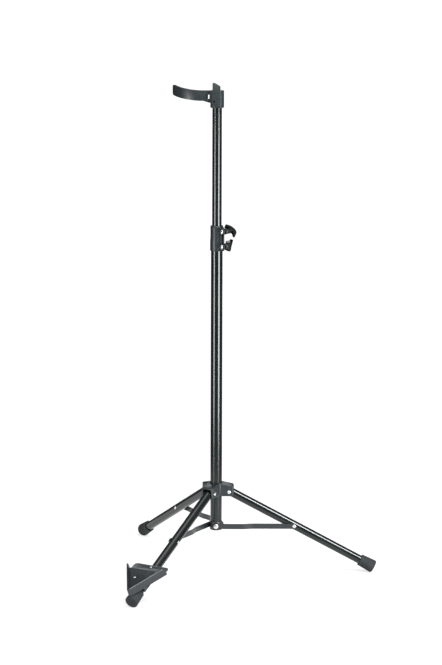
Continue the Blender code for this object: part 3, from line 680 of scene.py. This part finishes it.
def add_hub(root):
    """The sliding hub, with a channel and a pivot rivet for each leg."""
    hub_axis = empty(root, (0, 0, PIVOT_Z))
    low, high = HUB_BOTTOM - PIVOT_Z, HUB_TOP - PIVOT_Z
    hub = hub_star(hub_axis, low, high)
    soften(hub, width=0.0026, segments=5, angle=50)
    combine(hub, drill(LOWER_R + GAP, low - CUT, high + CUT, hub_axis, steps=FINE))
    far = ARM_R + CUT
    roof = high - CHANNEL_ROOF
    reach = ARM_WIDTH / 2 + GAP
    size = (SMALL_RIVET[0], SMALL_RIVET[1], BIG_RIVET[2])
    for side, azimuth in LEG_AZIMUTHS.items():
        channel = extruded("channel", [
            (CHANNEL_R, low - CUT), (far, low - CUT), (far, roof - ARM_DROP * far / ARM_R),
            (CHANNEL_R, roof - ARM_DROP * CHANNEL_R / ARM_R)],
            -CHANNEL_WIDTH / 2, CHANNEL_WIDTH / 2, "Y")
        combine(hub, place(channel, hub_axis, turn=(0, 0, azimuth)))
        along = Vector((cos(azimuth), sin(azimuth), 0)) * PIVOT_R
        combine(hub, drill(BIG_HOLE, -CUT / 2, CUT / 2, hub_axis, along,
                           across(azimuth + pi / 2)))
        facing = Vector((sin(azimuth), -cos(azimuth), 0))
        rivet(f"hub_rivet_{side}", "hub", size, 2 * reach, hub_axis, along + facing * reach,
              across(azimuth - pi / 2), tail=True)
    soften(hub, width=0.0004, segments=2, angle=50)
    settle(hub, "hub", "grey_moulding")
    return hub_axis


# Legs and braces ----------------------------------------------------------------------------

def add_leg(side, azimuth, hub_axis):
    """A leg's foot cap and brace rivet; returns its pivot, and its tube still to settle."""
    at = (PIVOT_R * cos(azimuth), PIVOT_R * sin(azimuth), 0)
    pivot = empty(hub_axis, at, (0, LEG_DROP, azimuth))
    body = f"leg_{side}"
    outline = tube_outline(LEG_R, -LEG_BACK, LEG_LENGTH - LEG_END)
    tube = place(turned(f"leg_tube_{side}_fine", outline, LEG_STEPS), pivot, turn=TO_X)
    combine(tube, drill(BIG_HOLE, -CUT, CUT, pivot, turn=TO_Y))
    combine(tube, drill(SMALL_HOLE, -CUT, CUT, pivot, (BRACE_JOINT_X, 0, 0), TO_Y))
    rim = LEG_LENGTH - CAP_LENGTH
    bore = LEG_R + GAP
    bore_end = LEG_LENGTH - LEG_END + GAP
    outline = [(bore, rim)] + arc((CAP_RIM_R - CAP_LIP, rim + CAP_LIP), CAP_LIP, -90, 0, 5)
    outline += [(CAP_RIM_R, rim + CAP_COLLAR), (CAP_RIM_R + CAP_SWELL, rim + CAP_WAIST)]
    outline += arc((CAP_END_R - CAP_EDGE, LEG_LENGTH - CAP_EDGE), CAP_EDGE, 0, 90, 10)
    outline += [(0, LEG_LENGTH), (0, bore_end), (bore, bore_end)]
    cap = place(turned(f"foot_cap_{side}_fine", outline, LEG_STEPS), pivot, turn=TO_X)
    settle(cap, body, "rubber")
    rivet(f"leg_rivet_{side}", body, SMALL_RIVET, bore + LEG_R, pivot,
          (BRACE_JOINT_X, bore, 0), TO_Y)
    return pivot, tube


def brace_y(x):
    """How far to the side of the leg's plane the brace runs, x along it."""
    share = min(max((x - JOGGLE_FROM) / (JOGGLE_TO - JOGGLE_FROM), 0), 1)
    ease = share * share * (3 - 2 * share)
    return BRACE_INNER_Y + (BRACE_OUTER_Y - BRACE_INNER_Y) * ease


def add_brace(side, azimuth, root):
    """A flat brace with round ends and a joggle, and the head of its outer rivet."""
    pivot = empty(root, (0, 0, BRACE_Z), (0, -BRACE_RISE, azimuth))
    body = f"brace_{side}"
    half = BRACE_WIDTH / 2
    ends = [radians(angle) for angle in range(6, 91, 12)]
    stations = [(-half * cos(t), half * sin(t)) for t in ends]
    stations += [(JOGGLE_FROM + (JOGGLE_TO - JOGGLE_FROM) * i / JOGGLE_STEPS, half)
                 for i in range(JOGGLE_STEPS + 1)]
    stations += [(BRACE_LENGTH + half * cos(t), half * sin(t)) for t in reversed(ends)]
    loops = []
    for x, z in stations:
        near, far = -brace_y(x) - BRACE_THICK / 2, -brace_y(x) + BRACE_THICK / 2
        loops.append([(x, near, -z), (x, far, -z), (x, far, z), (x, near, z)])
    brace = place(swept(f"{body}_fine", loops), pivot)
    combine(brace, drill(BIG_HOLE, -CUT, CUT, pivot, turn=TO_MINUS_Y))
    combine(brace, drill(SMALL_HOLE, -CUT, CUT, pivot, (BRACE_LENGTH, 0, 0), TO_MINUS_Y))
    soften(brace, width=0.0003, segments=2, angle=40)
    settle(brace, body, "grey_enamel")
    head_y = BRACE_OUTER_Y + BRACE_THICK / 2 + GAP
    rivet(f"brace_rivet_{side}", body, SMALL_RIVET, head_y - LEG_R - GAP, pivot,
          (BRACE_LENGTH, -head_y, 0), TO_MINUS_Y)


# Cradle -------------------------------------------------------------------------------------

def wall_loops(bottom, sign):
    """Sections of one wall of the cradle along its length: a sheet with a rounded rim."""
    half = CRADLE_SHEET / 2
    top = arc((V_WALL - WALL_CORNER, CRADLE_RIM_Z - WALL_CORNER), WALL_CORNER, 90, 0, 12)
    for x, rim in [(WALL_FROM, CRADLE_RIM_Z), *top, (V_WALL, bottom + CRADLE_SHEET)]:
        section = [(0, bottom), (2 * half, bottom)] + arc((half, rim - half), half, 0, 180, 8)
        yield [(x, sign * y, z) for y, z in section]


def make_tray(pivot):
    """The cradle's floor, walls and tongue in one, with a round corner where the walls meet."""
    run, sine = cos(V_HALF_ANGLE), sin(V_HALF_ANGLE)
    reach = V_WALL * run - WALL_PAST_FLOOR
    side = (reach - CRADLE_INSET / sine) * sine / run
    tip, bend = LEG_LENGTH - TRAY_TIP, LEG_LENGTH - TONGUE_A
    tray = extruded("cradle_tray_fine", [
        (tip, -TRAY_TIP_HALF), (tip, TRAY_TIP_HALF), (LEG_LENGTH - reach, side),
        (bend, TONGUE_HALF), (bend, -TONGUE_HALF), (LEG_LENGTH - reach, -side)],
        CRADLE_FLOOR_Z, CRADLE_FLOOR_TOP)
    place(tray, pivot)
    for sign in (1, -1):
        wall = swept("cradle_wall", wall_loops(CRADLE_FLOOR_Z + CRADLE_INSET, sign))
        place(wall, pivot, (LEG_LENGTH, 0, 0), (0, 0, pi - sign * V_HALF_ANGLE))
        combine(tray, wall, "UNION")
    corner = drill(CRADLE_SHEET - CORNER_INSET, CRADLE_FLOOR_Z + CRADLE_INSET / 2,
                   CRADLE_RIM_Z - CRADLE_INSET / 4, pivot,
                   (LEG_LENGTH - CRADLE_SHEET / sine, 0, 0))
    combine(tray, corner, "UNION")
    end = TONGUE_ROUND - TONGUE_LENGTH
    width = TONGUE_HALF - CRADLE_INSET
    plan = [(TONGUE_OVERLAP, width)] + arc((end, width - TONGUE_ROUND), TONGUE_ROUND, 90, 180)
    plan += arc((end, TONGUE_ROUND - width), TONGUE_ROUND, 180, 270) + [(TONGUE_OVERLAP, -width)]
    tongue = extruded("cradle_tongue", plan, TONGUE_BOTTOM, TONGUE_TOP)
    place(tongue, pivot, (bend, 0, CRADLE_FLOOR_Z), (0, -TONGUE_BEND, 0))
    return combine(tray, tongue, "UNION")


def make_saddle(pivot):
    """The moulded bridge between the tray and the leg."""
    top = CRADLE_FLOOR_Z - GAP
    shoulder = top - SADDLE_FLANGE
    outline = [(-SADDLE_HALF, SADDLE_BOTTOM), (SADDLE_HALF, SADDLE_BOTTOM),
               (SADDLE_HALF, shoulder), (SADDLE_WING, shoulder), (SADDLE_WING, top),
               (-SADDLE_WING, top), (-SADDLE_WING, shoulder), (-SADDLE_HALF, shoulder)]
    saddle = extruded("cradle_saddle_fine", outline, LEG_LENGTH - SADDLE_TO,
                      LEG_LENGTH - SADDLE_FROM, "X")
    place(saddle, pivot)
    return combine(saddle, drill(LEG_R + GAP, -CUT, LEG_LENGTH, pivot, turn=TO_X, steps=FINE))


def add_cradle(pivot, leg_tube):
    """The cradle on the front leg, with its screws and the rivet through its tongue."""
    tray, saddle = make_tray(pivot), make_saddle(pivot)
    for name, sign in (("left", 1), ("right", -1)):
        at = (LEG_LENGTH - SCREW_A, sign * SCREW_Y, CRADLE_FLOOR_TOP - SCREW_SEAT)
        hole = drill(SCREW_HEAD[2] + HOLE_SLACK, -CUT, CUT / 3, pivot, at)
        combine(tray, hole)
        combine(tray, drill(SCREW_HEAD[0] + HOLE_SLACK, -GAP, CUT / 3, pivot, at))
        combine(saddle, hole)
        rivet(f"cradle_screw_{name}", "leg_front", SCREW_HEAD, SCREW_LENGTH, pivot, at, (0, 0, 0))
    back = (TONGUE_RIVET_A - TONGUE_A) / cos(TONGUE_BEND)
    rise = TONGUE_TOP + GAP
    at = (LEG_LENGTH - TONGUE_A - back * cos(TONGUE_BEND) - rise * sin(TONGUE_BEND), 0,
          CRADLE_FLOOR_Z - back * sin(TONGUE_BEND) + rise * cos(TONGUE_BEND))
    turn = (0, -TONGUE_BEND, 0)
    hole = drill(SMALL_RIVET[2] + 2 * HOLE_SLACK, -TONGUE_HOLE_DEPTH, CUT / 3, pivot, at, turn)
    combine(tray, hole)
    combine(leg_tube, hole)
    rivet("cradle_rivet", "leg_front", FLAT_RIVET, TONGUE_RIVET_LENGTH, pivot, at, turn)
    soften(tray, width=0.0004, segments=2, angle=50)
    soften(saddle, width=0.0006, segments=2, angle=40)
    settle(tray, "leg_front", "grey_enamel")
    settle(saddle, "leg_front", "grey_moulding")


# Clamp --------------------------------------------------------------------------------------

def add_collar(guide):
    """The split collar on top of the lower tube, with a pair of lobes for each bolt."""
    lip = LOWER_TOP + GAP
    low_edge, top_edge = 0.001, 0.0018
    waist, waist_from, waist_to = 0.0006, 0.018, 0.026
    outline = [(LOWER_R + GAP, CLAMP_BOTTOM)]
    outline += arc((CLAMP_R - low_edge, CLAMP_BOTTOM + low_edge), low_edge, -90, 0, 5)
    outline += [(CLAMP_R, CLAMP_BOTTOM + waist_from), (CLAMP_R - waist, CLAMP_BOTTOM + waist_to)]
    outline += arc((CLAMP_R - waist - top_edge, CLAMP_TOP - top_edge), top_edge, 0, 90, 6)
    outline += [(UPPER_R + GAP, CLAMP_TOP), (UPPER_R + GAP, lip), (LOWER_R + GAP, lip)]
    collar = place(turned("clamp_collar_fine", outline), guide)
    bore = [(0, CLAMP_BOTTOM - CUT), (LOWER_R + GAP, CLAMP_BOTTOM - CUT), (LOWER_R + GAP, lip),
            (UPPER_R + GAP, lip), (UPPER_R + GAP, CLAMP_TOP + CUT), (0, CLAMP_TOP + CUT)]
    cuts = [place(turned("clamp_bore", bore), guide)]
    for name, height in CLAMP_BOLTS:
        outline = [(0, height - LOBE_END)] + arc((LOBE_R, height), LOBE_END, -90, 90, 20)
        outline += [(0, height + LOBE_END)]
        lobe = extruded("clamp_lobe", outline, -LOBE_HALF, LOBE_HALF, "Y")
        combine(collar, place(lobe, guide), "UNION")
        centre = (LOBE_R, 0, height)
        cuts.append(drill(BIG_HOLE, -CUT, CUT, guide, centre, TO_Y))
        cuts.append(drill(RECESS_R, LOBE_HALF - RECESS_DEPTH, CUT, guide, centre, TO_MINUS_Y))
    flange_low, flange_high = CLAMP_BOTTOM + 0.0006, CLAMP_TOP - 0.0025
    chamfer, slope = 0.001, 0.002
    flange = extruded("clamp_flange", [
        (0, flange_low), (FLANGE_R - chamfer, flange_low), (FLANGE_R, flange_low + chamfer),
        (FLANGE_R, flange_high - slope), (FLANGE_R - slope, flange_high), (0, flange_high)],
        -LOBE_HALF, LOBE_HALF, "Y")
    combine(collar, place(flange, guide), "UNION")
    slit = extruded("clamp_slit", rectangle(SLIT_FROM, -SLIT / 2, LOBE_R + CUT, SLIT / 2),
                    CLAMP_BOTTOM - CUT, CLAMP_TOP + CUT)
    cuts.append(place(slit, guide))
    for tool in cuts:
        combine(collar, tool)
    soften(collar, width=0.0005, segments=2, angle=50)
    settle(collar, "post", "grey_moulding")


def add_bolts(guide):
    """The clamp's two bolts, each with its washer."""
    for name, height in CLAMP_BOLTS:
        rivet(f"clamp_bolt_{name}", "post", BOLT_HEAD, BOLT_LENGTH, guide,
              (LOBE_R, -BOLT_HEAD_Y, height), TO_MINUS_Y)
        low, high = BOLT_HEAD_Y, WASHER_TOP_Y
        washer = turned(f"clamp_washer_{name}_fine", [
            (BIG_HOLE, low), (WASHER_R - WASHER_EDGE, low), (WASHER_R, low + WASHER_EDGE),
            (WASHER_R, high - WASHER_EDGE), (WASHER_R - WASHER_EDGE, high), (BIG_HOLE, high)],
            ROUND)
        settle(place(washer, guide, (LOBE_R, 0, height), TO_Y), "post", "nickel")


def crescent(span, bow, thick, steps=36):
    """Outline of a wing bar whose blunt ends bow towards -y."""
    outer, inner = [], []
    for i in range(steps + 1):
        share = -cos(pi * i / steps)
        middle = -bow * share * share
        half = thick / 2 * sqrt(max(1 - share ** 6, WING_BLUNT))
        outer.append((span / 2 * share, middle + half))
        inner.append((span / 2 * share, middle - half))
    return outer + list(reversed(inner))


def add_knob(guide):
    """The wing knob on the upper bolt."""
    knob_axis = empty(guide, (LOBE_R, 0, KNOB_BOLT_Z), (0, WING_TILT, 0))
    outline = [(0, GRIP_Y), (KNOB_FOOT_R, GRIP_Y), (KNOB_FOOT_R, GRIP_Y + KNOB_FOOT),
               (KNOB_NECK_R, WING_Y), (0, WING_Y)]
    knob = place(turned("wing_knob_fine", outline, ROUND), knob_axis, turn=TO_Y)
    wing = extruded("knob_wing", crescent(WING_SPAN, WING_BOW, WING_THICK),
                    -WING_WIDTH / 2, WING_WIDTH / 2)
    combine(knob, place(wing, knob_axis, (0, WING_Y - WING_SINK, 0)), "UNION")
    combine(knob, drill(BIG_HOLE, 0, BOLT_END_Y + GAP, knob_axis, turn=TO_Y))
    soften(knob, width=0.0011, segments=3, angle=40)
    settle(knob, "wing_knob", "black_moulding")


def add_lever(guide):
    """The lever on the lower bolt, with its thumb plate and small bright pin."""
    lever_axis = empty(guide, (LOBE_R, 0, LEVER_BOLT_Z))
    lever = extruded("clamp_lever_fine", [
        (-LEVER_HALF, GRIP_Y), (LEVER_HALF, GRIP_Y), (LEVER_HALF, GRIP_Y + LEVER_DEPTH),
        (-LEVER_TIP_HALF, GRIP_Y + LEVER_DEPTH)], LEVER_LOW, LEVER_HIGH)
    place(lever, lever_axis)
    outline = rectangle(-PLATE_HALF, -PLATE_HALF_THICK, PLATE_HALF, PLATE_HALF_THICK)
    plate = extruded("lever_plate", outline, PLATE_LOW, PLATE_HIGH)
    place(plate, lever_axis, (0, GRIP_Y + PLATE_Y, 0), (-LEVER_TILT, 0, 0))
    combine(lever, plate, "UNION")
    combine(lever, drill(BIG_HOLE, 0, BOLT_END_Y + GAP, lever_axis, turn=TO_Y))
    pin_at = (0, 0, LEVER_PIN_Z)
    pin_end = GRIP_Y + LEVER_PIN_LENGTH
    combine(lever, drill(LEVER_PIN_R + LEVER_PIN_SLACK, GRIP_Y - CUT, pin_end + LEVER_PIN_SLACK,
                         lever_axis, pin_at, TO_Y))
    pin = turned("lever_pin", [
        (0, GRIP_Y), (LEVER_PIN_R - LEVER_PIN_EDGE, GRIP_Y), (LEVER_PIN_R, GRIP_Y + LEVER_PIN_EDGE),
        (LEVER_PIN_R, pin_end), (0, pin_end)], ROUND)
    settle(place(pin, lever_axis, pin_at, TO_Y), "clamp_lever", "nickel", stands_for=())
    soften(lever, width=0.0005, segments=3, angle=40)
    settle(lever, "clamp_lever", "black_moulding")


def add_clamp(root):
    guide = empty(root, (0, 0, 0), (0, 0, CLAMP_AZIMUTH))
    add_collar(guide)
    add_bolts(guide)
    add_knob(guide)
    add_lever(guide)


# Head and riser -----------------------------------------------------------------------------

def add_block(guide):
    """The head block with its flank and upright tab, and the set screw in its side."""
    outline = [(0, HEAD_BOTTOM)]
    outline += arc((HEAD_R - HEAD_LOW_EDGE, HEAD_BOTTOM + HEAD_LOW_EDGE), HEAD_LOW_EDGE, -90, 0, 4)
    outline += arc((HEAD_R - HEAD_TOP_EDGE, HEAD_TOP - HEAD_TOP_EDGE), HEAD_TOP_EDGE, 0, 90, 8)
    outline += [(0, HEAD_TOP)]
    block = place(turned("head_block_fine", outline), guide)
    outline = rectangle(-ARM_ROOT_X + GAP, FLANK_FRONT, FLANK_END, FLANK_BACK)
    flank = extruded("head_flank", outline, HEAD_BOTTOM + FLANK_STEP, HEAD_TOP - FLANK_SHY)
    combine(block, place(flank, guide), "UNION")
    tab_low = HEAD_BOTTOM + TAB_STEP
    inward, down = TAB_SHOULDER
    tab = [(TAB_FROM, tab_low), (TAB_TO, tab_low), (TAB_TO, TAB_TOP - TAB_SIDE_DROP),
           (TAB_TO - inward, TAB_TOP - down), (TAB_PEAK[1], TAB_TOP), (TAB_PEAK[0], TAB_TOP),
           (TAB_FROM, TAB_TOP - TAB_CORNER_DROP)]
    plate = extruded("head_tab", tab, TAB_FRONT_Y, TAB_BACK_Y, "Y")
    combine(block, place(plate, guide), "UNION")
    combine(block, drill(UPPER_R + GAP, HEAD_BOTTOM - CUT, UPPER_TOP + GAP, guide, steps=FINE))
    at, turn = (0, 0, SET_SCREW_Z), across(SET_SCREW_AZIMUTH)
    combine(block, drill(SET_SCREW_HOLE, UPPER_R - WALL, CUT, guide, at, turn))
    inner, outer = UPPER_R + GAP, HEAD_R - SET_SCREW_SINK
    screw = turned("head_screw_fine", [
        (0, inner), (SET_SCREW_R, inner), (SET_SCREW_R, outer), (0, outer)], ROUND)
    place(screw, guide, at, turn)
    combine(screw, drill(SOCKET_R, outer - SOCKET_DEPTH, outer + CUT, guide, at, turn, steps=6))
    soften(screw, width=0.0002, segments=1)
    settle(screw, "riser", "black_moulding")
    soften(block, width=0.0008, segments=3, angle=40)
    settle(block, "riser", "grey_moulding")


def arm_stations():
    """Centre, heading, bottom and top of the hook arm at each station, in the head's frame."""
    length = ARM_STRAIGHT + ARM_BEND_R * ARM_BEND
    places = [GUSSET_LENGTH * i / 4 for i in range(5)] + [ARM_STRAIGHT]
    curved = length - ARM_STRAIGHT - ARM_END_R
    places += [ARM_STRAIGHT + curved * (i + 1) / ARM_BEND_STEPS for i in range(ARM_BEND_STEPS)]
    places += [length - ARM_END_R + ARM_END_R * sin(radians(angle))
               for angle in (12, 24, 36, 48, 60, 72, 80)]
    for s in places:
        bent = max(s - ARM_STRAIGHT, 0) / ARM_BEND_R
        x = -ARM_ROOT_X - min(s, ARM_STRAIGHT) - ARM_BEND_R * sin(bent)
        y = ARM_ROOT_Y + ARM_BEND_R * (1 - cos(bent))
        lift = ARM_LIFT * (bent / ARM_BEND) ** 1.5
        deeper = GUSSET * max(1 - s / GUSSET_LENGTH, 0)
        past = max(s - (length - ARM_END_R), 0)
        trim = ARM_END_R - sqrt(ARM_END_R ** 2 - past ** 2)
        top = HEAD_TOP + lift - trim
        bottom = HEAD_TOP - ARM_HEIGHT + lift - deeper + trim
        yield (x, y), bent, bottom, top


def add_arm(guide):
    """The hook arm, with a strap slot in a shallow pocket near its root."""
    loops = []
    for (x, y), bent, bottom, top in arm_stations():
        x += ARM_TENON if not loops else 0
        side = Vector((sin(bent), cos(bent), 0)) * ARM_THICK / 2
        near, far = Vector((x, y, 0)) - side, Vector((x, y, 0)) + side
        corners = ((near, bottom), (far, bottom), (far, top), (near, top))
        loops.append([(point.x, point.y, height) for point, height in corners])
    arm = place(swept("hook_arm_fine", loops), guide)
    wide, tall = SLOT_SIZE
    slot = extruded("strap_slot", rectangle(SLOT_X - wide, SLOT_Z, SLOT_X, SLOT_Z + tall),
                    -CUT, CUT, "Y")
    combine(arm, place(slot, guide))
    front = ARM_ROOT_Y - ARM_THICK / 2
    outline = rectangle(SLOT_X - SLOT_POCKET, SLOT_Z, SLOT_X, SLOT_Z + tall)
    pocket = extruded("strap_pocket", outline, front - CUT, front + POCKET_DEPTH, "Y")
    combine(arm, place(pocket, guide))
    soften(arm, width=0.0010, segments=4, angle=40)
    settle(arm, "riser", "grey_moulding")


def add_head(root):
    guide = empty(root, (0, 0, 0), (0, 0, HEAD_TURN))
    add_block(guide)
    add_arm(guide)


def add_riser(root):
    """The upper tube, and the plug at its bottom that guides it in the lower one."""
    tube = turned("upper_tube_fine", tube_outline(UPPER_R, UPPER_BOTTOM, UPPER_TOP))
    settle(place(tube, root), "riser", "black_lacquer")
    spigot, flange = UPPER_R - WALL - GAP, LOWER_R - WALL - GAP
    shelf = UPPER_BOTTOM - GAP
    plug = turned("guide_plug_fine", [
        (0, shelf - PLUG_FLANGE), (flange, shelf - PLUG_FLANGE), (flange, shelf),
        (spigot, shelf), (spigot, shelf + PLUG_SPIGOT), (0, shelf + PLUG_SPIGOT)], ROUND)
    settle(soften(place(plug, root), width=0.0005), "guide", "black_moulding")


def build_stand():
    pivot_z = JOINTS["leg_front_fold"]["pos_m"][2]
    root = empty(at=(POST_X, POST_Y, pivot_z - PIVOT_Z))
    add_post(root)
    hub_axis = add_hub(root)
    for side, azimuth in LEG_AZIMUTHS.items():
        pivot, tube = add_leg(side, azimuth, hub_axis)
        add_brace(side, azimuth, root)
        if side == "front":
            add_cradle(pivot, tube)
        settle(tube, f"leg_{side}", "black_lacquer")
    add_clamp(root)
    add_riser(root)
    add_head(root)
    clear_tools()


# Studio -------------------------------------------------------------------------------------

def add_camera():
    data = bpy.data.cameras.new("camera")
    data.lens = CAMERA_LENS
    data.clip_end = CAMERA_CLIP
    camera = bpy.data.objects.new("camera", data)
    bpy.context.scene.collection.objects.link(camera)
    turn = CAMERA_TURN
    camera.location = (POST_X + CAMERA_SIDE * cos(turn) + CAMERA_AWAY * sin(turn),
                       POST_Y + CAMERA_SIDE * sin(turn) - CAMERA_AWAY * cos(turn), CAMERA_UP)
    aim = empty(at=camera.location, turn=(pi / 2 - CAMERA_DOWN, 0, turn))
    place(camera, aim, turn=(0, 0, CAMERA_ROLL))
    bpy.context.view_layer.update()
    world = camera.matrix_world.copy()
    camera.parent = None
    camera.matrix_world = world
    bpy.data.objects.remove(aim)
    bpy.context.scene.camera = camera


def softbox(name, azimuth, away, height, size, power, tilt=0.0):
    """An area light facing the post, at an azimuth from the camera's, positive to its right."""
    data = bpy.data.lights.new(name, "AREA")
    data.shape = "RECTANGLE"
    data.size, data.size_y = size
    data.energy = power
    light = bpy.data.objects.new(name, data)
    bpy.context.scene.collection.objects.link(light)
    direction = CAMERA_TURN - pi / 2 + azimuth
    light.location = (POST_X + away * cos(direction), POST_Y + away * sin(direction), height)
    light.rotation_euler = (pi / 2 - tilt, 0, direction + pi / 2)


def add_lights():
    softbox("left_box", radians(-50), away=2.6, height=0.1, size=(0.9, 0.85), power=36)
    softbox("right_box", radians(47), away=2.6, height=0.1, size=(1.15, 0.85), power=64)
    softbox("upper_box", radians(54), away=2.0, height=2.2, size=(0.8, 0.8), power=68,
            tilt=radians(46))
    softbox("front_box", radians(4), away=1.9, height=2.3, size=(1.2, 1.1), power=62,
            tilt=radians(49))
    softbox("top_box", 0, away=0.6, height=3.0, size=(2.4, 2.4), power=50, tilt=pi / 2)
    softbox("back_box", radians(-178), away=3.0, height=1.45, size=(1.2, 0.8), power=6,
            tilt=radians(20))


def add_world():
    """White where the camera sees past the floor, a dim grey room in the reflections."""
    world = bpy.data.worlds.new("room")
    world.use_nodes = True
    tree = world.node_tree
    background = tree.nodes["Background"]
    background.inputs["Color"].default_value = (1, 1, 1, 1)
    seen = tree.nodes.new("ShaderNodeLightPath")
    strength = tree.nodes.new("ShaderNodeMapRange")
    strength.inputs["To Min"].default_value = ROOM_GLOW
    strength.inputs["To Max"].default_value = BACKDROP
    tree.links.new(seen.outputs["Is Camera Ray"], strength.inputs["Value"])
    tree.links.new(strength.outputs["Result"], background.inputs["Strength"])
    bpy.context.scene.world = world


def add_floor():
    """A round white studio floor whose rim fades into the backdrop."""
    outline = [(0, 0), (FLOOR_R, 0), (FLOOR_R, -FLOOR_THICK), (0, -FLOOR_THICK)]
    floor = turned("floor", outline, FLOOR_STEPS)
    floor.location = (0, 0, -FLOOR_DROP)
    made, tree, shader = material("floor_glow", FLOOR_GREY, 0.9, specular=0.0)
    shader.inputs["Emission Color"].default_value = (1, 1, 1, 1)
    shader.inputs["Emission Strength"].default_value = FLOOR_GLOW
    tree.links.new(spread(tree, noise(tree, 40), 0.85, 0.95), shader.inputs["Roughness"])
    coordinates = tree.nodes.new("ShaderNodeTexCoord")
    length = tree.nodes.new("ShaderNodeVectorMath")
    length.operation = "LENGTH"
    clear = tree.nodes.new("ShaderNodeMapRange")
    clear.interpolation_type = "SMOOTHSTEP"
    clear.inputs["From Min"].default_value = FADE_FROM
    clear.inputs["From Max"].default_value = FLOOR_R - FADE_MARGIN
    clear.inputs["To Min"].default_value = 1
    clear.inputs["To Max"].default_value = 0
    tree.links.new(coordinates.outputs["Object"], length.inputs[0])
    tree.links.new(length.outputs["Value"], clear.inputs["Value"])
    tree.links.new(clear.outputs["Result"], shader.inputs["Alpha"])
    floor.data.materials.append(made)


def main():
    add_camera()
    build_stand()
    add_lights()
    add_world()
    add_floor()
    bpy.context.scene.view_settings.view_transform = "Standard"


main()
